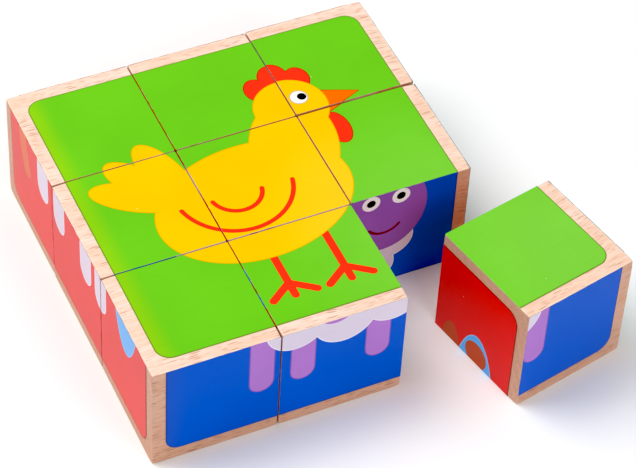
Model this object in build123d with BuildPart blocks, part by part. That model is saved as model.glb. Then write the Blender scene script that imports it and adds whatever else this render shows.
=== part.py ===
"""Picture-block puzzle: nine loose beech cubes that stand three by three, each with one ninth
of six pictures printed on the films glued to its faces.

Millimetres, +Z up. The origin is under the centre block, on the surface that the blocks stand
on. +X is to the right along the square's front, +Y to its back. The front right block lies
beside the square, clear of its cell and a little turned.
"""

import math
import os

from build123d import *

# Blocks
BLOCK = 40.0  # edge of a finished block, over the films on two opposite faces
ARRIS = 0.25  # rounding of a finished block's edges, over the film
PLAY = 0.25  # free gap between neighbours in the square

# Printed films
FILM = 0.12  # thickness of the printed film
MITRE = 0.03  # set back from an arris's middle line, where the films of two faces meet
BORDER = 4.4  # bare wood between a picture's edge and the square's outer sides
PICTURE_CORNER = 4.8  # radius of a whole picture's four corners

# The block that lies beside the square
LOOSE_RIGHT = 24.2  # how far it stands to the right of its cell
LOOSE_FORWARD = 16.7  # how far it stands in front of its cell
LOOSE_TURN = 12.1  # degrees that it is turned, anticlockwise from above

# How unevenly the blocks stand in their cells: to the right and to the back as shares of the
# play, then the turn in degrees
STANDS = {
    "back_left": (0.2, 0.0, 0.0),
    "back_middle": (0.0, 0.2, -0.05),
    "back_right": (0.1, 1.8, 0.1),
    "middle_left": (0.0, 0.0, 0.12),
    "centre": (0.0, 0.0, 0.0),
    "middle_right": (0.1, -0.1, 0.0),
    "front_left": (0.1, -0.1, -0.12),
    "front_middle": (0.0, -0.2, 0.08),
    "front_right": (0.0, 0.0, 0.0),
}

PITCH = BLOCK + PLAY  # from one cell's centre to the next
CORE = BLOCK - 2 * FILM  # edge of the bare wooden cube
CORE_ARRIS = ARRIS - FILM  # rounding of the wood, so that the film over it has an even thickness
LAST = 2  # the last row or column of three, counted from 0

# The six faces: the way right along the picture, and the way out of the block
FACES = {
    "top": ((1, 0, 0), (0, 0, 1)),
    "base": ((-1, 0, 0), (0, 0, -1)),
    "front": ((1, 0, 0), (0, -1, 0)),
    "back": ((-1, 0, 0), (0, 1, 0)),
    "left": ((0, -1, 0), (-1, 0, 0)),
    "right": ((0, 1, 0), (1, 0, 0)),
}


def piece_of_picture(face, row, column):
    """The row and column of the picture's piece on one face of a block. Rows run from the
    back to the front and columns from left to right. A side's picture is laid by tipping each
    block in its own cell until that side is on top, and the base's by turning the whole
    square over sideways."""
    return {
        "top": (row, column),
        "base": (row, LAST - column),
        "front": (row, column),
        "back": (LAST - row, LAST - column),
        "left": (LAST - column, row),
        "right": (column, LAST - row),
    }[face]


def where_it_stands(name, row, column):
    """The middle of a block: its cell, moved by its share of the play, or beside the square."""
    right, back, turn = STANDS[name]
    x = (column - 1) * PITCH + right * PLAY
    y = (1 - row) * PITCH + back * PLAY
    if name == "front_right":
        x += LOOSE_RIGHT
        y -= LOOSE_FORWARD
        turn += LOOSE_TURN
    return Location((x, y, BLOCK / 2), (0, 0, turn))


def turning_centre():
    """The point about which the loose block turns in one sweep into its cell: the two places
    are a chord apart, and the centre is square to the chord's middle."""
    chord = math.hypot(LOOSE_RIGHT, LOOSE_FORWARD)
    reach = chord / 2 / math.tan(math.radians(LOOSE_TURN) / 2)
    x = PITCH + LOOSE_RIGHT / 2 + reach * LOOSE_FORWARD / chord
    y = -PITCH - LOOSE_FORWARD / 2 + reach * LOOSE_RIGHT / chord
    return x, y


def rounded_cube(edge, arris):
    with BuildPart() as cube:
        Box(edge, edge, edge)
        fillet(cube.edges(), arris)
    return cube.part


def top_skin():
    """The film that would cover a block's whole top: it follows the rounding of the edges down
    to the middle of each arris, where the next face's film meets it on a mitre."""
    finished = rounded_cube(BLOCK, ARRIS)
    core = rounded_cube(CORE, CORE_ARRIS)
    with BuildPart() as skin:
        add(finished)
        add(core, mode=Mode.SUBTRACT)
        with BuildSketch(Plane.XY.offset(BLOCK / 2)):
            Rectangle(BLOCK - 2 * MITRE, BLOCK - 2 * MITRE)
        extrude(amount=-ARRIS, taper=45, mode=Mode.INTERSECT)
    return skin.part


def film(skin, standing, face, row, column):
    """One face's printed film: the skin of that face, cut back to the picture's border on the
    sides that are the picture's outer ones."""
    right, outward = FACES[face]
    facing = Plane(origin=(0, 0, 0), x_dir=right, z_dir=outward)
    block_middle = Plane(standing * facing.location)
    piece_row, piece_column = piece_of_picture(face, row, column)
    left_cut = BORDER if piece_column == 0 else 0
    right_cut = BORDER if piece_column == LAST else 0
    top_cut = BORDER if piece_row == 0 else 0
    bottom_cut = BORDER if piece_row == LAST else 0
    whole_skin = block_middle.location * skin
    with BuildPart() as printed:
        with BuildSketch(block_middle.offset(BLOCK / 2 - ARRIS)) as outline:
            with Locations(((left_cut - right_cut) / 2, (bottom_cut - top_cut) / 2)):
                Rectangle(BLOCK - left_cut - right_cut, BLOCK - top_cut - bottom_cut)
            if piece_row != 1 and piece_column != 1:
                outer = Axis((0, 0, 0), (piece_column - 1, 1 - piece_row, 0))
                fillet(outline.vertices().sort_by(outer)[-1], PICTURE_CORNER)
        extrude(amount=ARRIS)
        add(whole_skin, mode=Mode.INTERSECT)
    return printed.part


def save(piece, name):
    piece.label = name
    export_step(piece, f"parts/{name}.step")


def make_block(name, row, column, skin):
    """One block: the wooden cube and the films on its six faces. The films of its left and
    right sides are one node of two separate pieces."""
    standing = where_it_stands(name, row, column)
    with BuildPart(Plane(standing)) as wood:
        Box(CORE, CORE, CORE)
        fillet(wood.edges(), CORE_ARRIS)
    save(wood.part, f"{name}_wood")

    films = {face: film(skin, standing, face, row, column) for face in FACES}
    for face in ("top", "base", "front", "back"):
        save(films[face], f"{name}_{face}_print")

    with BuildPart() as side_films:
        add(films["left"])
        add(films["right"])
    save(side_films.part, f"{name}_side_prints")


os.makedirs("parts", exist_ok=True)
face_skin = top_skin()
for index, block_name in enumerate(STANDS):
    block_row, block_column = divmod(index, LAST + 1)
    make_block(block_name, block_row, block_column, face_skin)
print("turning centre of the loose block", turning_centre())
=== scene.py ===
"""Nine beech cubes that carry a piece of a farm picture on every face, standing as a
square of three by three with the front right cube pulled out and turned."""

import math

import bpy
import numpy as np
from mathutils import Matrix, Vector
from mathutils.geometry import delaunay_2d_cdt


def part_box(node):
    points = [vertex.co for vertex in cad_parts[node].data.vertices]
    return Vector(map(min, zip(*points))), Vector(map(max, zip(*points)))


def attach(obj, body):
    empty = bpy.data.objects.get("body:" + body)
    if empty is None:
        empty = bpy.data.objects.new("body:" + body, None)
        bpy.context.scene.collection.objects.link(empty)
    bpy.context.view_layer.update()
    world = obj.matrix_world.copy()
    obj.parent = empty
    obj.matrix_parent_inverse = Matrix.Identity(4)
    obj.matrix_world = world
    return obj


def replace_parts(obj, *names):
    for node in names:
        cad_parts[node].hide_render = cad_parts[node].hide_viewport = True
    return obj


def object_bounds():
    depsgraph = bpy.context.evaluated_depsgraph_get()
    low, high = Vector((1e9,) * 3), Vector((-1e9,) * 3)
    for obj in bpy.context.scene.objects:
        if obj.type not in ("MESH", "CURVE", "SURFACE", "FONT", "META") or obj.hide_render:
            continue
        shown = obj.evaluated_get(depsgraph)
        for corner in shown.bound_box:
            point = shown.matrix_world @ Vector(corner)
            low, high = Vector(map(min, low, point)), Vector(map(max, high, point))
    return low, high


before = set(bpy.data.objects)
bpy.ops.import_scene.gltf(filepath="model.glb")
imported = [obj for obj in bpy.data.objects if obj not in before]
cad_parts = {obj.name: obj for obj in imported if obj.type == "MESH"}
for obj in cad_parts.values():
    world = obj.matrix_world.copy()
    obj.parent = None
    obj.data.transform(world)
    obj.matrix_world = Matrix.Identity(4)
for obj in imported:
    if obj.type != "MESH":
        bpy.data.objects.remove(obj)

CAD_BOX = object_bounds()
MM = 0.001

# ---------------------------------------------------------------- cubes, in millimetres

FILM = 0.12                     # thickness of a printed film
ARRIS = 0.25                    # rounding of a cube's edges, over the film
MITRE = 0.03                    # slit between two films that meet on an arris
PLAY = 0.25                     # room between two cubes that stand side by side
BORDER = 4.4                    # bare beech round a whole picture
PICTURE_CORNER = 4.8            # radius of a whole picture's corners
FILM_KNOCK = 0.5                # radius that a film's corner has lost where cubes meet

wood_low, wood_high = (np.array(corner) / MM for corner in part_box("centre_wood"))
CORE = wood_high[2] - wood_low[2]
BLOCK = CORE + 2 * FILM
HALF = BLOCK / 2
PITCH = BLOCK + PLAY
FLAT = HALF - ARRIS                                     # where the arris starts to roll
RUN_ON = FLAT + ARRIS * math.sin(math.pi / 4) - MITRE / 2    # where a film stops on it
CUT = HALF - BORDER                                     # where a film stops at the border
SHEET_HALF = PITCH + CUT                                # half of a whole picture

NAMES = ("back_left", "back_middle", "back_right",
         "middle_left", "centre", "middle_right",
         "front_left", "front_middle", "front_right")
TURNS = {"back_middle": -0.05, "back_right": 0.1, "middle_left": 0.12,
         "front_left": -0.12, "front_middle": 0.08, "front_right": 12.1}

# Each face's way right and way out, and the piece of its picture that the cube in
# row r and column c of the square carries there.
FACES = {
    "top": ((1, 0, 0), (0, 0, 1), lambda r, c: (r, c)),
    "base": ((-1, 0, 0), (0, 0, -1), lambda r, c: (r, 2 - c)),
    "front": ((1, 0, 0), (0, -1, 0), lambda r, c: (r, c)),
    "back": ((-1, 0, 0), (0, 1, 0), lambda r, c: (2 - r, 2 - c)),
    "left": ((0, -1, 0), (-1, 0, 0), lambda r, c: (2 - c, r)),
    "right": ((0, 1, 0), (1, 0, 0), lambda r, c: (c, 2 - r)),
}


# ---------------------------------------------------------------- drawing

STEP = 0.6                      # spacing of the points along a drawn curve


def through(*points):
    """Cubic spline through the points, with the distance from point to point as its
    parameter, and with the bend of each end stretch even, as in a parabola."""
    knots = np.array(points, float)
    gaps = np.linalg.norm(np.diff(knots, axis=0), axis=1)
    slopes = np.diff(knots, axis=0) / gaps[:, None]
    count = len(knots)
    system = np.zeros((count, count))
    system[0, :2] = (1, -1)
    system[-1, -2:] = (1, -1)
    inner = np.arange(1, count - 1)
    system[inner, inner - 1] = gaps[:-1]
    system[inner, inner] = 2 * (gaps[:-1] + gaps[1:])
    system[inner, inner + 1] = gaps[1:]
    known = np.zeros((count, 2))
    known[1:-1] = 6 * np.diff(slopes, axis=0)
    bends = np.linalg.solve(system, known)
    stretches = []
    for k, gap in enumerate(gaps):
        t = np.linspace(0, gap, max(2, round(gap / STEP)) + 1)[:-1, None]
        s = gap - t
        stretches.append(
            (bends[k] * s**3 + bends[k + 1] * t**3) / (6 * gap)
            + (knots[k] / gap - bends[k] * gap / 6) * s
            + (knots[k + 1] / gap - bends[k + 1] * gap / 6) * t)
    return np.vstack(stretches + [knots[-1:]])


def round_through(*points):
    """Closed smooth curve: the spline through the points three times round, of which
    the middle round is kept."""
    line = through(*(points * 3 + points[:1]))
    hits = np.flatnonzero(np.linalg.norm(line - np.array(points[0]), axis=1) < 1e-9)
    return line[hits[1]:hits[2]]


def oval(x, y, across, up, turn=0):
    """Ellipse about (x, y) with the two half widths, turned by degrees."""
    count = max(16, round(2 * math.pi * max(across, up) / STEP))
    angle = np.linspace(0, 2 * math.pi, count, endpoint=False)
    flat = np.stack([across * np.cos(angle), up * np.sin(angle)], axis=1)
    c, s = math.cos(math.radians(turn)), math.sin(math.radians(turn))
    return flat @ np.array([[c, s], [-s, c]]) + (x, y)


def arc(start, end, bulge):
    """Circular arc whose height over its chord is the bulge times the chord, on the
    right of the way from start to end."""
    start, end = np.array(start, float), np.array(end, float)
    half_turn = 2 * math.atan(2 * bulge)
    chord = end - start
    length = np.linalg.norm(chord)
    radius = length / (2 * math.sin(half_turn))
    side = np.array([chord[1], -chord[0]]) / length
    centre = (start + end) / 2 - side * radius * math.cos(half_turn)
    count = max(4, round(2 * half_turn * radius / STEP))
    angle = np.linspace(-half_turn, half_turn, count + 1)[:, None]
    return centre + radius * (np.cos(angle) * side + np.sin(angle) * chord / length)


def scallops(bulge, *corners):
    """Cloud outline: an arc with the same bulge from each corner to the next; a corner
    may give its own bulge as a third number."""
    arcs = []
    for (x, y, *own), following in zip(corners, corners[1:] + corners[:1]):
        arcs.append(arc((x, y), following[:2], own[0] if own else bulge)[:-1])
    return np.vstack(arcs)


def joined(*stretches):
    """One closed outline from stretches that follow each other, without the points
    that two of them share."""
    line = np.vstack([np.array(stretch, float).reshape(-1, 2) for stretch in stretches])
    apart = np.linalg.norm(line - np.roll(line, 1, axis=0), axis=1) > 1e-6
    return line[apart]


def brush(path, width):
    """Line of even width along a path, with round ends: the path moved half the width
    to either side, and half a circle about each end."""
    along = np.gradient(path, axis=0)
    along /= np.linalg.norm(along, axis=1)[:, None]
    side = np.stack([along[:, 1], -along[:, 0]], axis=1) * width / 2
    swing = np.linspace(0, math.pi, 9)[1:-1, None]

    def cap(k, way):
        return path[k] + np.cos(swing) * side[k] * way + np.sin(swing) * along[k] * way * width / 2

    return np.vstack([path + side, cap(-1, 1), (path - side)[::-1], cap(0, -1)])


def anticlockwise(outline):
    x, y = outline.T
    area = np.sum(x * np.roll(y, -1) - np.roll(x, -1) * y)
    return outline if area > 0 else outline[::-1]


def inset(outline, width):
    """Outline moved inwards: each point goes along the mean of its two edges' normals,
    divided by the cosine of half the turn there, but never by less than a half."""
    edges = np.roll(outline, -1, axis=0) - outline
    normals = np.stack([-edges[:, 1], edges[:, 0]], axis=1)
    normals /= np.linalg.norm(normals, axis=1)[:, None]
    mean = normals + np.roll(normals, 1, axis=0)
    mean /= np.maximum(np.linalg.norm(mean, axis=1), 1e-6)[:, None]
    cosine = np.maximum(np.sum(mean * normals, axis=1), 0.5)
    return outline + mean * (width / cosine)[:, None]


def plate(left, right, low, high, radii):
    """Rectangle with its own radius at each corner, anticlockwise from low right."""
    corners = ((right, low, 1, -1), (right, high, 1, 1), (left, high, -1, 1), (left, low, -1, -1))
    stretches = []
    for k, (x, y, sx, sy) in enumerate(corners):
        radius = radii[k]
        swing = np.linspace(-0.5 + k * 0.5, k * 0.5, 13 if radius else 1) * math.pi
        rim = np.stack([np.cos(swing), np.sin(swing)], axis=1) * radius
        stretches.append(rim + (x - sx * radius, y - sy * radius))
    return np.vstack(stretches)


# ---------------------------------------------------------------- pictures
#
# A picture lies in its own millimetres, x right and y up from its middle, with each
# seam between two cubes at half a pitch. Its shapes are painted in turn: ink, outline,
# and the ink and width of the line where the colours overlap, if it has one.

TRAP = 0.3                      # width of that line


def straight(start, end):
    """Evenly spaced points from start to end."""
    length = math.dist(start, end)
    return np.linspace(start, end, max(2, round(length / STEP)) + 1)


def merged(ink, trap, *outlines):
    """Several outlines painted as one shape: all in the trap's ink, then all inset."""
    return ([(trap, outline, None) for outline in outlines]
            + [(ink, inset(anticlockwise(outline), TRAP), None) for outline in outlines])


def leg(x, width, top, foot):
    """Plain upright leg with a round foot; its top is hidden in the body."""
    return brush(straight((x, top), (x, foot + width / 2)), width)


def hen():
    """Hen on a green meadow: ovals for body, neck, head and tail, a comb of three
    lobes, and thin legs with three toes."""
    comb = (oval(13, 35, 4, 5), oval(20, 38, 5, 6), oval(27, 35, 4, 5))
    beak = np.array([(28, 29), (28, 17), (43, 23)], float)
    body = (oval(-38, 6, 15, 6, 150), oval(-34, 10, 15, 6, 125), oval(-27, 12, 15, 6, 105),
            oval(-6, -8, 32, 23, 8), oval(14, 8, 14, 22, -20), oval(20, 24, 12, 12))
    wing = (arc((-28, -4), (8, -4), 0.4), arc((-18, -4), (-2, -4), 0.4))
    feet = []
    for x in (-10, 8):
        feet.append(straight((x, -26), (x, -42)))
        feet += [straight((x, -42), (x + toe, -47)) for toe in (-7, 0, 7)]
    return [
        *merged("comb_red", "red_trap", *comb),
        ("comb_red", oval(30, 11, 4, 7), "red_trap"),
        ("beak_orange", beak, "red_trap"),
        *[("comb_red", brush(line, 2.5), None) for line in feet],
        *merged("hen_yellow", "yellow_trap", *body),
        *[("comb_red", brush(line, 1.5), None) for line in wing],
        ("eye_white", oval(24, 27, 3, 3), "grey_trap"),
        ("pupil_black", oval(25, 27, 1.5, 1.5), None),
    ]


def sheep():
    """Sheep on blue: an even cloud for its fleece, straight legs and an oval head."""
    angles = np.linspace(0, 2 * math.pi, 14, endpoint=False)
    cloud = [(40 * math.cos(angle), 4 + 30 * math.sin(angle)) for angle in angles]
    starts = ((-28, -14), (-8, -18), (-24, 8), (-4, 4), (-14, 22))
    curls = [arc((x, y), (x + 10, y), 0.3) for x, y in starts]
    return [
        *[("leg_lilac", leg(x, 8, -16, -42), "lilac_trap") for x in (-26, -13, 11, 24)],
        ("fleece", scallops(0.3, *cloud), "fleece_rim"),
        *[("leg_lilac", brush(curl, 1.2), None) for curl in curls],
        ("head_purple", oval(18, 24, 7, 3, -25), "lilac_trap"),
        ("head_purple", oval(46, 24, 7, 3, 25), "lilac_trap"),
        ("head_purple", oval(32, 12, 14, 17), "lilac_trap"),
        *[("eye_white", oval(x, 17, 3, 3), None) for x in (27, 37)],
        *[("pupil_black", oval(x, 17, 1.5, 1.5), None) for x in (27, 37)],
        ("smile_maroon", brush(arc((27, 5), (37, 5), 0.25), 1), None),
    ]


def pony():
    """Pale pony on red, with an orange tail and its light blue head hanging down."""
    return [
        ("tail_orange", brush(through((-36, 6), (-44, -8), (-42, -34)), 6), None),
        *[("fleece", leg(x, 9, -10, -34), "fleece_rim") for x in (-28, -14, 8, 20)],
        ("fleece", oval(-6, 0, 34, 20), "fleece_rim"),
        ("bark_brown", oval(28, 12, 5, 16), None),
        ("sky_blue", oval(40, 0, 10, 32), "sky_rim"),
        ("bark_brown", oval(40, 24, 5, 5), None),
        *[("eye_white", oval(x, 6, 2.5, 3), None) for x in (36, 44)],
        *[("pupil_black", oval(x, 6, 1.5, 1.5), None) for x in (36, 44)],
    ]


def pig():
    """Pink pig on turquoise, seen from its left."""
    legs = [leg(x, 9, -14, -42) for x in (-26, -12, 12, 25)]
    snout = oval(42, 2, 7, 8.5, 8)
    tail = through((-37, 8), (-43, 13), (-47, 9), (-43, 4), (-40, 9), (-45, 17))
    ears = [through((16, 28), (12, 38), (15, 44), (23, 40), (27, 30)),
            through((30, 29), (35, 38), (41, 40), (43, 32), (39, 22))]
    return [
        ("rose_dark", brush(tail, 2), None),
        *[("rose_dark", leg, None) for leg in legs],
        ("piglet_pink", round_through((-38, 2), (-33, 18), (-16, 27), (6, 27), (24, 20), (31, 2),
                                      (24, -17), (2, -25), (-22, -23), (-35, -13)), "rose_trap"),
        *[("rose_dark", ear, None) for ear in ears],
        ("piglet_pink", oval(27, 10, 18.5, 20.5), "rose_trap"),
        ("rose_dark", snout, None),
        ("pupil_black", oval(40, 3, 1.3, 2.2, 8), None),
        ("pupil_black", oval(44.4, 2.2, 1.3, 2.2, 8), None),
        ("eye_white", oval(22, 18, 3.4, 3.6), None),
        ("pupil_black", oval(23, 17.4, 1.8, 2), None),
        ("eye_white", oval(35, 18.6, 3.2, 3.4), None),
        ("pupil_black", oval(36, 18, 1.7, 1.9), None),
        ("smile_maroon", brush(through((27, -4), (32, -8), (38, -9.5)), 1.2), None),
    ]


def duck():
    """White duck on orange, afloat."""
    body = joined(
        through((10, 6), (-6, 4), (-24, 8), (-38, 20), (-46, 24), (-47, 10), (-42, -8), (-28, -20),
                (-6, -25), (16, -23), (31, -12), (35, 4), (33, 14)),
        through((33, 14), (38, 22), (38, 34), (28, 43), (14, 42), (6, 32), (7, 20), (10, 6)))
    bill = joined(through((34, 34), (44, 32), (50, 27), (44, 23.5), (34, 22)))
    wing = through((-8, 1), (4, -4), (8, -12), (-4, -17), (-20, -14), (-30, -4), (-34, 4), (-20, 0))
    water = [brush(through((-52, y), (-38, y + 3), (-24, y), (-10, y + 3), (4, y), (18, y + 3),
                           (32, y), (46, y + 3), (53, y + 1)), 3) for y in (-31, -41)]
    return [
        *[("sky_blue", wave, None) for wave in water],
        ("beak_orange_deep", bill, None),
        ("eye_white", body, "grey_trap"),
        ("fleece", joined(wing), "grey_trap"),
        ("pupil_black", oval(26, 32, 2.2, 2.6), None),
        ("eye_white", oval(26.8, 33, 0.7, 0.8), None),
        ("beak_orange_deep", brush(through((36, 28), (42, 27.6), (47, 27.4)), 0.9), None),
    ]


def cow():
    """Brown and white cow on yellow, seen from its left."""
    legs = [leg(x, 9, -12, -42) for x in (-29, -15, 10, 24)]
    horns = [through((22, 33), (17, 39), (19, 45), (24, 41), (27, 35)),
             through((39, 34), (46, 38), (46, 45), (40, 42), (34, 36))]
    patches = [oval(-20, 12, 10, 9, 20), oval(2, -8, 9, 7, -15), oval(-31, -8, 4.5, 6)]
    tail = brush(through((-38, 15), (-46, 10), (-48, -4), (-46, -14)), 1.8)
    return [
        ("bark_brown", tail, None),
        ("bark_brown", oval(-46, -17, 2.6, 4.4), None),
        *[("eye_white", leg, "grey_trap") for leg in legs],
        ("eye_white", round_through((-40, 2), (-36, 18), (-16, 24), (8, 22), (24, 22), (31, 6),
                                    (26, -14), (4, -21), (-24, -19), (-37, -12)), "grey_trap"),
        *[("bark_brown", patch, None) for patch in patches],
        ("piglet_pink", oval(2, -22, 6, 4.5), "rose_trap"),
        *[("fleece", horn, None) for horn in horns],
        ("bark_brown", oval(13, 29, 8, 3.8, 14), None),
        ("bark_brown", oval(48, 30, 7, 3.6, -14), None),
        ("bark_brown", round_through((20, 30), (25, 37), (35, 37), (42, 31), (42, 14), (37, 4),
                                     (26, 3), (20, 13)), None),
        ("piglet_pink", oval(31, 5, 11, 7.5, 3), "rose_trap"),
        ("smile_maroon", oval(27, 6, 1.2, 1.9), None),
        ("smile_maroon", oval(35.4, 6.3, 1.2, 1.9), None),
        ("eye_white", oval(26, 22, 3, 3.6), None),
        ("pupil_black", oval(26.6, 21.2, 1.6, 2), None),
        ("eye_white", oval(36, 22, 3, 3.6), None),
        ("pupil_black", oval(36.6, 21.2, 1.6, 2), None),
    ]


# Each face's ground ink, the darker ink of its cut edge, which is painted shade along the film's edge, and
# its shapes.
PICTURES = {
    "top": ("meadow_green", "meadow_edge_shade", hen()),
    "front": ("pasture_blue", "pasture_edge_shade", sheep()),
    "left": ("barn_red", "barn_edge_shade", pony()),
    "right": ("pond_turquoise", "pond_edge_shade", pig()),
    "back": ("sunset_orange", "sunset_edge_shade", duck()),
    "base": ("straw_yellow", "straw_edge_shade", cow()),
}


# ---------------------------------------------------------------- films

def film_outline(row, column):
    """Outline of one cube's film in its picture: to the border on the picture's own
    sides, with the picture's round corner, and to the arris where the next cube is."""
    x, y = (column - 1) * PITCH, (1 - row) * PITCH
    left = x - (CUT if column == 0 else RUN_ON)
    right = x + (CUT if column == 2 else RUN_ON)
    low = y - (CUT if row == 2 else RUN_ON)
    high = y + (CUT if row == 0 else RUN_ON)
    radii = []
    for corner_row, corner_column in ((2, 2), (0, 2), (0, 0), (2, 0)):
        borders = (corner_row == row) + (corner_column == column)
        radii.append((FILM_KNOCK, 0, PICTURE_CORNER)[borders])
    return plate(left, right, low, high, radii)


def arris_rows(row, column):
    """Lines along the sides that run on over an arris, where its roll needs points."""
    x, y = (column - 1) * PITCH, (1 - row) * PITCH
    rows = []
    for angle in (0, 15, 30):
        reach = FLAT + ARRIS * math.sin(math.radians(angle))
        for way in (-1, 1):
            if column - 1 != way:
                rows.append([(x + way * reach, y - RUN_ON), (x + way * reach, y + RUN_ON)])
            if 1 - row != way:
                rows.append([(x - RUN_ON, y + way * reach), (x + RUN_ON, y + way * reach)])
    return rows


def cut_sheet(ground, edge, shapes):
    """A whole picture as triangles: their corners, and for each its cube and its ink.
    The films' outlines and the shapes' are edges of the triangles, and the last shape
    painted over a triangle gives its ink."""
    cubes = [(row, column) for row in range(3) for column in range(3)]
    loops = [film_outline(*cube) for cube in cubes]
    # painted shade: a band of the darker edge ink, one trap wide, along the picture's outer cut edge
    inks = [edge] * len(loops)
    whole = plate(-SHEET_HALF, SHEET_HALF, -SHEET_HALF, SHEET_HALF, [PICTURE_CORNER] * 4)
    loops.append(inset(whole, TRAP))
    inks.append(ground)
    for ink, outline, trap in shapes:
        outline = anticlockwise(outline)
        if trap:
            loops.append(outline)
            inks.append(trap)
            outline = inset(outline, TRAP)
        loops.append(outline)
        inks.append(ink)
    starts = np.cumsum([0] + [len(loop) for loop in loops])
    points = [Vector(point) for point in np.vstack(loops)]
    faces = [list(range(start, start + len(loop))) for start, loop in zip(starts, loops)]
    edges = []
    for cube in cubes:
        for row in arris_rows(*cube):
            edges.append((len(points), len(points) + 1))
            points.extend(Vector(point) for point in row)
    corners, _, triangles, _, _, sources = delaunay_2d_cdt(points, edges, faces, 0, 1e-6)
    kept = [k for k, source in enumerate(sources) if source and min(source) < len(cubes)]
    return (np.array([tuple(corner) for corner in corners]),
            np.array([triangles[k] for k in kept]),
            np.array([min(sources[k]) for k in kept]),
            [inks[max(sources[k])] for k in kept])


def rolled(flat):
    """Height and normal over a film's plan: flat, and round the arris beyond FLAT, where
    a point e past it stands sqrt(arris^2 - e^2) above the arris's axis."""
    past = np.sign(flat) * np.maximum(np.abs(flat) - FLAT, 0)
    rise = np.sqrt(np.maximum(ARRIS**2 - np.sum(past**2, axis=1), 0))
    normals = np.column_stack([past, rise]) / ARRIS
    return FLAT + rise, normals


def turned(ways, facing, name):
    """Directions in a face's frame (right, up, out), as the named cube stands."""
    turn = np.array(Matrix.Rotation(math.radians(TURNS.get(name, 0)), 3, "Z"))
    return ways @ facing @ turn.T


def place(points, facing, name):
    """Points in a face's frame, laid on the named cube where it stands."""
    low, high = (np.array(corner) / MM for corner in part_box(f"{name}_wood"))
    return turned(points, facing, name) + (low + high) / 2


def add_layer(mesh, name, values):
    """UV map from one pair per face corner."""
    layer = mesh.uv_layers.new(name=name)
    layer.data.foreach_set("uv", np.asarray(values, np.float32).ravel())


def add_attribute(mesh, name, kind, values, domain="POINT"):
    """Attribute from one value per point, or per face corner."""
    field = "vector" if kind == "FLOAT_VECTOR" else "value"
    made = mesh.attributes.new(name, kind, domain)
    made.data.foreach_set(field, np.asarray(values, np.float32).ravel())


def grain_of(points, name):
    """Where points of a cube lie in its own plank: the cube's frame, moved along and
    across the plank by an amount of its own."""
    shift = np.random.default_rng(NAMES.index(name) + 11).uniform(-400, 400, 3)
    return points + shift


def film(name, face, sheet, materials):
    """The film of one face: the cut sheet laid over the face, its underside one film
    further in along the normals, and a wall round the cut edge."""
    right, out, piece_of = FACES[face]
    facing = np.array([right, np.cross(out, right), out], float)
    row, column = piece_of(*divmod(NAMES.index(name), 3))
    corners, triangles, cubes, inks = sheet
    own = np.flatnonzero(cubes == row * 3 + column)
    used, local = np.unique(triangles[own], return_inverse=True)
    local = local.reshape(-1, 3)
    picture = corners[used]
    flat = picture - ((column - 1) * PITCH, (1 - row) * PITCH)
    height, normals = rolled(flat)
    upper = np.column_stack([flat, height])
    under = upper - normals * FILM
    count = len(upper)

    edges = np.vstack([local[:, [0, 1]], local[:, [1, 2]], local[:, [2, 0]]])
    code = edges[:, 0] * count + edges[:, 1]
    rim = edges[~np.isin(code, edges[:, 1] * count + edges[:, 0])]
    walls = np.column_stack([rim[:, 0], rim[:, 0] + count, rim[:, 1] + count, rim[:, 1]])
    faces = local.tolist() + (local[:, ::-1] + count).tolist() + walls.tolist()

    points = np.vstack([upper, under])
    mesh = bpy.data.meshes.new(f"{name}_{face}_picture")
    mesh.from_pydata(place(points, facing, name) * MM, [], faces)
    names = list(dict.fromkeys([PICTURES[face][1]] + [inks[k] for k in own]))
    for ink_name in names:
        mesh.materials.append(materials[ink_name])
    ink_of = np.array([names.index(inks[k]) for k in own])
    # the cut edge's wall takes the darker edge ink, painted shade of the film's edge
    wall_ink = np.zeros(len(walls), int)
    mesh.polygons.foreach_set("material_index", np.concatenate([ink_of, ink_of, wall_ink]))
    mesh.polygons.foreach_set("use_smooth", np.ones(len(faces), bool))

    slices = np.linspace(0.1, 0.98, len(walls) + 1)
    wall_map = np.stack([
        np.column_stack([np.full(len(walls), u), slices[:-1] if first else slices[1:] * 0.999])
        for u, first in ((0.93, 1), (0.99, 1), (0.99, 0), (0.93, 0))], axis=1)
    share = flat / BLOCK + 0.5
    add_layer(mesh, "OFBake", np.vstack([
        (share * 0.9)[local.ravel()],
        (share * 0.06 + (0.93, 0.01))[local[:, ::-1].ravel()],
        wall_map.reshape(-1, 2)]))
    across = picture / (3 * PITCH) + 0.5
    add_layer(mesh, "picture", np.vstack([
        across[local.ravel()], across[local[:, ::-1].ravel()], across[(walls % count).ravel()]]))
    past = np.linalg.norm(normals[:, :2], axis=1)
    add_attribute(mesh, "rim", "FLOAT", np.tile(past / math.sin(math.pi / 4), 2))
    add_attribute(mesh, "grain", "FLOAT_VECTOR", grain_of(points @ facing, name))

    sides = np.cross(points[walls[:, 1]] - points[walls[:, 0]], points[walls[:, 3]] - points[walls[:, 0]])
    sides /= np.linalg.norm(sides, axis=1)[:, None]
    mesh.normals_split_custom_set(turned(np.vstack([
        normals[local.ravel()], -normals[local[:, ::-1].ravel()], np.repeat(sides, 4, axis=0)]),
        facing, name).tolist())
    return new_piece(mesh, name)


def new_piece(mesh, name):
    """Object for a mesh that rides on the named cube."""
    piece = bpy.data.objects.new(mesh.name, mesh)
    bpy.context.scene.collection.objects.link(piece)
    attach(piece, f"{name}_block")
    return piece


# ---------------------------------------------------------------- beech

ARRIS_STEPS = 5                 # rows over half an arris
FLAT_STEPS = 14                 # rows over a face between its arrises
CORNER_KNOCK = 0.45             # most that a corner has lost to wear
KNOCK_REACH = 2.2               # how far from the corner that wear is felt


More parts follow.
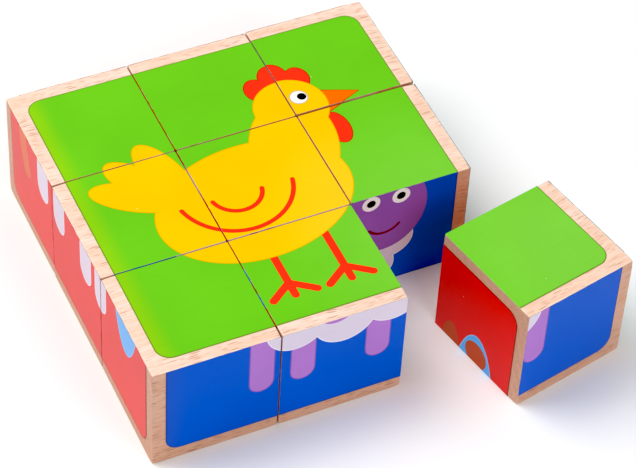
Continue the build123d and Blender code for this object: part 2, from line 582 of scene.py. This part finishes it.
def beech_cube(name, material):
    """The bare cube: a point p on a sharp cube's surface goes to q + r (p - q) / |p - q|,
    where q is the nearest point of the cube shrunk by the arris radius r. The radius
    grows by a knock at each corner, falling off as exp(-(d / reach)^2) with the
    distance d from the corner."""
    half = CORE / 2
    radius = ARRIS - FILM
    flat = np.linspace(-half + radius, half - radius, FLAT_STEPS + 1)
    roll = half - radius + radius * np.tan(np.linspace(0, math.pi / 4, ARRIS_STEPS + 1)[1:])
    ticks = np.concatenate([-roll[::-1], flat, roll])
    near = [half - radius - 0.6, half - radius - 1.6]
    ticks = np.unique(np.round(np.concatenate([ticks, near, np.negative(near)]), 6))
    side = len(ticks)
    u, v = (grid.ravel() for grid in np.meshgrid(ticks, ticks, indexing="ij"))
    sheets, maps = [], []
    for k, (right, out, _) in enumerate(FACES.values()):
        facing = np.array([right, np.cross(out, right), out], float)
        sheets.append(np.column_stack([u, v, np.full(len(u), half)]) @ facing)
        share = np.column_stack([u, v]) / CORE + 0.5
        maps.append((share * 0.97 + 0.015 + (k % 3, k // 3)) / (3, 2))
    sharp, inverse = np.unique(np.round(np.vstack(sheets), 6), axis=0, return_inverse=True)
    cell = (np.arange(side - 1)[:, None] * side + np.arange(side - 1)).ravel()
    quad = np.column_stack([cell, cell + side, cell + side + 1, cell + 1])
    quads = np.vstack([quad + k * side**2 for k in range(6)])

    knocks = np.random.default_rng(NAMES.index(name) + 31).uniform(0.1, CORNER_KNOCK, (2, 2, 2))
    corner = (sharp > 0).astype(int)
    gap = np.linalg.norm(half - np.abs(sharp), axis=1)
    knock = knocks[corner[:, 0], corner[:, 1], corner[:, 2]] * np.exp(-(gap / KNOCK_REACH) ** 2)
    local_radius = (radius + knock)[:, None]
    inner = np.clip(sharp, -half + local_radius, half - local_radius)
    reach = sharp - inner
    reach /= np.linalg.norm(reach, axis=1)[:, None]
    points = inner + reach * local_radius

    mesh = bpy.data.meshes.new(f"{name}_cube")
    upright = np.eye(3)
    mesh.from_pydata(place(points, upright, name) * MM, [], inverse.ravel()[quads].tolist())
    mesh.materials.append(material)
    mesh.polygons.foreach_set("use_smooth", np.ones(len(quads), bool))
    add_layer(mesh, "OFBake", np.vstack(maps)[quads.ravel()])
    close = np.sort(half - np.abs(sharp), axis=1)[:, 1]
    add_attribute(mesh, "rim", "FLOAT", np.exp(-(close / 0.5) ** 2))
    add_attribute(mesh, "grain", "FLOAT_VECTOR", grain_of(points, name))
    # marks the four upright sides, which the beech finish darkens as painted shade
    add_attribute(mesh, "side", "FLOAT", np.repeat([0, 0, 1, 1, 1, 1], 4 * len(quad)), "CORNER")
    add_attribute(mesh, "end", "FLOAT", np.repeat([0, 0, 0, 0, 1, 1], 4 * len(quad)), "CORNER")
    outward = turned(reach, upright, name)
    mesh.normals_split_custom_set(outward[inverse.ravel()[quads.ravel()]].tolist())
    return new_piece(mesh, name)


# ---------------------------------------------------------------- finishes

def linear(code):
    """Shader colour from a six digit screen colour."""
    screen = np.array([int(code[k:k + 2], 16) / 255 for k in (0, 2, 4)])
    light = np.where(screen <= 0.04045, screen / 12.92, ((screen + 0.055) / 1.055) ** 2.4)
    return (*light.tolist(), 1)


def add(tree, kind, inputs=None, **settings):
    """One shader node with its settings, its sockets linked or set."""
    made = tree.nodes.new(f"ShaderNode{kind}")
    for key, value in settings.items():
        setattr(made, key, value)
    for socket, value in (inputs or {}).items():
        if isinstance(value, bpy.types.NodeSocket):
            tree.links.new(value, made.inputs[socket])
        else:
            made.inputs[socket].default_value = value
    return made


def maths(tree, operation, *values):
    return add(tree, "Math", dict(enumerate(values)), operation=operation).outputs[0]


def ramp(tree, value, low, high, to_low=0.0, to_high=1.0):
    """Smooth step of a value between two levels."""
    return add(tree, "MapRange", {0: value, 1: low, 2: high, 3: to_low, 4: to_high},
               interpolation_type="SMOOTHSTEP").outputs[0]


def blend_colours(tree, factor, first, second, blend_type="MIX"):
    return add(tree, "Mix", {0: factor, 6: first, 7: second}, data_type="RGBA",
               blend_type=blend_type).outputs[2]


def stretched(tree, vector, *scale):
    return add(tree, "VectorMath", {0: vector, 1: scale}, operation="MULTIPLY").outputs[0]


def noise(tree, vector, scale, detail=2.0, rough=0.5):
    return add(tree, "TexNoise", {"Vector": vector, "Scale": scale, "Detail": detail,
                                  "Roughness": rough}).outputs["Fac"]


def new_group(name, inputs, outputs):
    """Shader node group with named sockets; gives the tree and its input sockets."""
    tree = bpy.data.node_groups.new(name, "ShaderNodeTree")
    for label, kind, value in inputs:
        socket = tree.interface.new_socket(label, in_out="INPUT", socket_type=f"NodeSocket{kind}")
        socket.default_value = value
    for label, kind in outputs:
        tree.interface.new_socket(label, in_out="OUTPUT", socket_type=f"NodeSocket{kind}")
    return tree, tree.nodes.new("NodeGroupInput").outputs


def close_group(tree, **results):
    end = tree.nodes.new("NodeGroupOutput")
    for label, socket in results.items():
        tree.links.new(socket, end.inputs[label])
    return tree


def fleck_layer(tree, plank, length, height, width, keep):
    """Dark rays of the wood: flat ellipsoids about scattered points, of which the share
    given by keep is kept. They lie along the plank and stand on its rings."""
    scaled = stretched(tree, plank, 1 / length, 1 / width, 1 / height)
    cells = add(tree, "TexVoronoi", {"Vector": scaled, "Scale": 1.0})
    dot = ramp(tree, cells.outputs["Distance"], 0.34, 0.16)
    chosen = add(tree, "SeparateColor", {0: cells.outputs["Color"]}).outputs[0]
    return maths(tree, "MULTIPLY", dot, ramp(tree, chosen, 1 - keep, 1.05 - keep))


RAY_TILT = math.radians(38)     # of a plank's rays from upright


def beech_grain():
    """Grain of beech in a cube's own plank, which runs from left to right: flecks,
    fibres and growth bands, each a mask from 0 to 1."""
    tree, _ = new_group("beech_grain", [], [("Flecks", "Float"), ("Fibres", "Float"), ("Bands", "Float")])
    plank = add(tree, "Attribute", attribute_name="grain").outputs["Vector"]
    wander = add(tree, "TexNoise", {"Vector": stretched(tree, plank, 0.03, 0.08, 0.08), "Scale": 1.0,
                                    "Detail": 2.0}).outputs["Color"]
    warped = add(tree, "VectorMath", {0: wander, 1: (2.0, 5.0, 5.0), 2: plank},
                 operation="MULTIPLY_ADD").outputs[0]
    rays = add(tree, "VectorRotate", {"Vector": warped, "Angle": RAY_TILT},
               rotation_type="X_AXIS").outputs[0]
    large = fleck_layer(tree, rays, 6.8, 2.0, 0.5, 0.5)
    small = fleck_layer(tree, rays, 4.4, 1.2, 0.34, 0.7)
    crowding = ramp(tree, noise(tree, plank, 0.07, 1.0), 0.35, 0.6, 0.55, 1.0)
    rays_of_both = maths(tree, "MAXIMUM", large, maths(tree, "MULTIPLY", small, 0.75))
    flecks = maths(tree, "MULTIPLY", crowding, rays_of_both)
    fibres = noise(tree, stretched(tree, warped, 0.16, 2.3, 2.3), 1.0, 4.0, 0.65)
    across = add(tree, "VectorMath", {0: warped, 1: (0, 1, 1)}, operation="MULTIPLY").outputs[0]
    ring = add(tree, "VectorMath", {0: across}, operation="LENGTH").outputs["Value"]
    bands = maths(tree, "SINE", maths(tree, "MULTIPLY", ring, 1.9))
    return close_group(tree, Flecks=flecks, Fibres=fibres, Bands=ramp(tree, bands, -1.0, 1.0))


def beech(grain):
    """Bare sanded beech, with painted shade that makes a cube's four upright sides deeper in colour than
    its top, and with fainter flecks on its two end grain sides."""
    material = bpy.data.materials.new("sanded_beech")
    material.use_nodes = True
    tree = material.node_tree
    shader = tree.nodes["Principled BSDF"]
    masks = add(tree, "Group", node_tree=grain).outputs
    plank = add(tree, "Attribute", attribute_name="grain").outputs["Vector"]
    rim = add(tree, "Attribute", attribute_name="rim").outputs["Fac"]
    side = add(tree, "Attribute", attribute_name="side").outputs["Fac"]
    end = add(tree, "Attribute", attribute_name="end").outputs["Fac"]
    flecks = maths(tree, "MULTIPLY", masks["Flecks"], ramp(tree, end, 0.0, 1.0, 0.75, 0.45))
    patches = noise(tree, stretched(tree, plank, 0.02, 0.05, 0.05), 1.0, 2.0)
    colour = blend_colours(tree, ramp(tree, patches, 0.3, 0.7), linear("F7D3BC"), linear("FBDECE"))
    colour = blend_colours(tree, maths(tree, "MULTIPLY", masks["Bands"], 0.22), colour, linear("E6B494"))
    colour = blend_colours(tree, ramp(tree, masks["Fibres"], 0.4, 0.72, 0.0, 0.6), colour, linear("E3AE8C"))
    colour = blend_colours(tree, flecks, colour, linear("B0704A"))
    # lighter arris: partly wear of the sanded edge, partly painted highlight
    colour = blend_colours(tree, maths(tree, "MULTIPLY", rim, 0.35), colour, linear("F8E0CE"))
    # painted shade: the four upright sides are tinted darker and deeper than the top
    colour = blend_colours(tree, side, colour, linear("DECABE"), "MULTIPLY")
    tree.links.new(colour, shader.inputs["Base Color"])
    tree.links.new(ramp(tree, masks["Fibres"], 0.2, 0.8, 0.42, 0.58), shader.inputs["Roughness"])
    height = maths(tree, "SUBTRACT", masks["Fibres"], maths(tree, "MULTIPLY", masks["Flecks"], 0.6))
    bump = add(tree, "Bump", {"Strength": 0.4, "Distance": 0.00004, "Height": height})
    tree.links.new(bump.outputs[0], shader.inputs["Normal"])
    shader.inputs["IOR"].default_value = 1.42
    return material


def printed_film(grain):
    """Print on film over beech: the ink is shifted to other colours near the picture's left
    margin and over its lower right, the grain below shows faintly, dust specks lie in the varnish,
    the arris is darkened as painted shade of the seams, and in places it is rubbed pale, as wear and as a
    painted highlight."""
    tree, given = new_group(
        "printed_film",
        [("Ink", "Color", (1, 1, 1, 1)), ("Left Ink", "Color", (1, 1, 1, 1)),
         ("Low Ink", "Color", (1, 1, 1, 1)), ("Rub And Glint", "Float", 0.5)],
        [("Colour", "Color"), ("Roughness", "Float"), ("Height", "Float")])
    masks = add(tree, "Group", node_tree=grain).outputs
    plank = add(tree, "Attribute", attribute_name="grain").outputs["Vector"]
    rim = add(tree, "Attribute", attribute_name="rim").outputs["Fac"]
    sheet = add(tree, "SeparateXYZ", {0: add(tree, "UVMap", uv_map="picture").outputs[0]}).outputs
    low_right = maths(tree, "MULTIPLY", ramp(tree, sheet["X"], 0.35, 0.9),
                      ramp(tree, sheet["Y"], 0.75, 0.15))
    colour = blend_colours(tree, low_right, given["Ink"], given["Low Ink"])
    colour = blend_colours(tree, ramp(tree, sheet["X"], 0.1, 0.035), colour, given["Left Ink"])
    drift = ramp(tree, noise(tree, plank, 0.035, 2.0), 0.3, 0.7, 0.965, 1.03)
    shown = ramp(tree, masks["Fibres"], 0.35, 0.75, 1.01, 0.985)
    tone = maths(tree, "MULTIPLY", drift, shown)
    # painted shade: the ink darkens over the arris towards the mitre, where the film runs on to the next
    # cube
    painted_seam_shade = ramp(tree, rim, 0.4, 0.9, 1.0, 0.84)
    colour = add(tree, "VectorMath", {0: colour, "Scale": maths(tree, "MULTIPLY", tone, painted_seam_shade)},
                 operation="SCALE").outputs[0]
    dust = add(tree, "TexVoronoi", {"Vector": plank, "Scale": 0.12})
    chosen = add(tree, "SeparateColor", {0: dust.outputs["Color"]}).outputs[0]
    speck = maths(tree, "MULTIPLY", ramp(tree, dust.outputs["Distance"], 0.026, 0.014),
                  ramp(tree, chosen, 0.55, 0.6))
    colour = blend_colours(tree, maths(tree, "MULTIPLY", speck, 0.6), colour, linear("F4F0E8"))
    # pale patches on the arris: partly rubbed wear of the film, partly painted highlight
    patchy = ramp(tree, noise(tree, plank, 0.3, 3.0), 0.44, 0.56)
    rub_and_glint = maths(tree, "MULTIPLY", ramp(tree, rim, 0.6, 0.95), patchy)
    colour = blend_colours(tree, maths(tree, "MULTIPLY", rub_and_glint, given["Rub And Glint"]), colour, linear("F2E4D6"))
    rough = maths(tree, "MULTIPLY_ADD", rub_and_glint, 0.2, 0.3)
    return close_group(tree, Colour=colour, Roughness=rough, Height=noise(tree, plank, 0.22, 1.0))


INKS = {
    "meadow_green": "6CC62A", "meadow_edge_shade": "6A9426", "hen_yellow": "FFC41A", "comb_red": "FF3A26",
    "beak_orange": "FF6E14", "eye_white": "F7F5F6", "pupil_black": "0A0708", "red_trap": "B02A16",
    "yellow_trap": "E8AC14", "grey_trap": "B8A890", "pasture_blue": "0058CC", "pasture_edge_shade": "0A4296",
    "fleece": "DED4E6", "fleece_rim": "F2EEF8", "leg_lilac": "B27ACE", "lilac_trap": "8E5CB0",
    "head_purple": "965EB6", "smile_maroon": "7A0A18", "barn_red": "E81810", "barn_edge_shade": "9A120C",
    "sky_blue": "5AB6FC", "sky_rim": "8CCBFC", "bark_brown": "C64A18", "tail_orange": "E4601C",
    "pond_turquoise": "1FB5B0", "pond_edge_shade": "127C78", "piglet_pink": "F9A8B8", "rose_dark": "EE7C94",
    "rose_trap": "D86A80", "sunset_orange": "F58A1F", "sunset_edge_shade": "B85E10", "beak_orange_deep": "E8561C",
    "straw_yellow": "F7C51E", "straw_edge_shade": "B88C10",
}
# Colours that an ink is shifted to near a picture's left margin and over its lower right.
LEFT_INKS = {"meadow_green": "8CCB24", "pasture_blue": "1C56C4", "barn_red": "E82A1C"}
LOW_INKS = {"meadow_green": "80D046", "hen_yellow": "FFD03C"}


RUB_AND_GLINT = 0.55                      # how pale a rubbed arris gets, as wear and as painted highlight


def ink(name, printed):
    """One ink of the pictures."""
    material = bpy.data.materials.new(name)
    material.use_nodes = True
    tree = material.node_tree
    shader = tree.nodes["Principled BSDF"]
    plain = INKS[name]
    sheet = add(tree, "Group", {}, node_tree=printed)
    sheet.inputs["Ink"].default_value = linear(plain)
    sheet.inputs["Left Ink"].default_value = linear(LEFT_INKS.get(name, plain))
    sheet.inputs["Low Ink"].default_value = linear(LOW_INKS.get(name, plain))
    sheet.inputs["Rub And Glint"].default_value = RUB_AND_GLINT
    tree.links.new(sheet.outputs["Colour"], shader.inputs["Base Color"])
    tree.links.new(sheet.outputs["Roughness"], shader.inputs["Roughness"])
    bump = add(tree, "Bump", {"Strength": 0.25, "Distance": 0.00002, "Height": sheet.outputs["Height"]})
    tree.links.new(bump.outputs[0], shader.inputs["Normal"])
    shader.inputs["IOR"].default_value = 1.28
    return material


# ---------------------------------------------------------------- the set

def dress_cubes():
    """Every cube in beech with its six films, in place of the plain ones."""
    grain = beech_grain()
    wood = beech(grain)
    printed = printed_film(grain)
    inks = {name: ink(name, printed) for name in INKS}
    sheets = {face: cut_sheet(*picture) for face, picture in PICTURES.items()}
    for name in NAMES:
        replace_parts(beech_cube(name, wood), f"{name}_wood")
        for face, sheet in sheets.items():
            node = f"{name}_side_prints" if face in ("left", "right") else f"{name}_{face}_print"
            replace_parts(film(name, face, sheet, inks), node)


# ---------------------------------------------------------------- stage

def pale_floor():
    """White table, a flat disc round the cubes' middle, level with their underside."""
    low, high = (np.array(corner) for corner in CAD_BOX)
    angle = np.linspace(0, 2 * math.pi, 96, endpoint=False)
    rim = np.column_stack([4 * np.cos(angle), 4 * np.sin(angle), np.zeros(len(angle))])
    mesh = bpy.data.meshes.new("floor")
    mesh.from_pydata(rim + (*(low + high)[:2] / 2, low[2]), [], [list(range(len(rim)))])
    material = bpy.data.materials.new("white_table")
    material.use_nodes = True
    shader = material.node_tree.nodes["Principled BSDF"]
    shader.inputs["Base Color"].default_value = (0.96, 0.96, 0.96, 1)
    shader.inputs["Roughness"].default_value = 0.8
    shader.inputs["Specular IOR Level"].default_value = 0.1
    mesh.materials.append(material)
    floor = bpy.data.objects.new("floor", mesh)
    bpy.context.scene.collection.objects.link(floor)


def softbox(name, place_at, aim, size, power):
    """Square soft light turned to a point."""
    light = bpy.data.lights.new(name, "AREA")
    light.size = size
    light.energy = power
    lamp = bpy.data.objects.new(name, light)
    lamp.location = place_at
    lamp.rotation_euler = (Vector(aim) - Vector(place_at)).to_track_quat("-Z", "Y").to_euler()
    bpy.context.scene.collection.objects.link(lamp)


def studio_light():
    """White surroundings, a large softbox overhead and a fill from the front."""
    world = bpy.data.worlds.new("studio")
    world.use_nodes = True
    backdrop = world.node_tree.nodes["Background"]
    backdrop.inputs["Color"].default_value = (1, 1, 1, 1)
    backdrop.inputs["Strength"].default_value = 0.42
    bpy.context.scene.world = world
    softbox("key", (-0.38, 0.3, 0.92), (0, 0, 0), 0.7, 8.0)
    softbox("front_fill", (0.15, -0.9, 0.6), (0, 0, 0), 0.6, 3.6)
    view = bpy.context.scene.view_settings
    view.view_transform = "Standard"
    view.use_curve_mapping = True
    view.curve_mapping.black_level = (0.026, 0.026, 0.026)
    view.curve_mapping.update()


AZIMUTH, ELEVATION, ROLL = -26.87, 47.03, 3.6           # of the view, in degrees
DISTANCE = 0.887                                        # from the camera to its target
TARGET = (0.0227, 0.00565, 0)
LENS = 159.2                                            # on a sensor 36 wide


def camera():
    """Camera at the distance and angles given from its target, rolled about its axis."""
    azimuth, elevation = math.radians(AZIMUTH), math.radians(ELEVATION)
    back = Vector((math.sin(azimuth) * math.cos(elevation),
                   -math.cos(azimuth) * math.cos(elevation), math.sin(elevation)))
    turned = back.to_track_quat("Z", "Y").to_matrix() @ Matrix.Rotation(math.radians(ROLL), 3, "Z")
    eye = bpy.data.cameras.new("camera")
    eye.lens = LENS
    eye.sensor_width = 36
    eye.clip_start = 0.01
    viewer = bpy.data.objects.new("camera", eye)
    viewer.matrix_world = Matrix.Translation(Vector(TARGET) + back * DISTANCE) @ turned.to_4x4()
    bpy.context.scene.collection.objects.link(viewer)
    bpy.context.scene.camera = viewer


camera()
studio_light()
pale_floor()
dress_cubes()
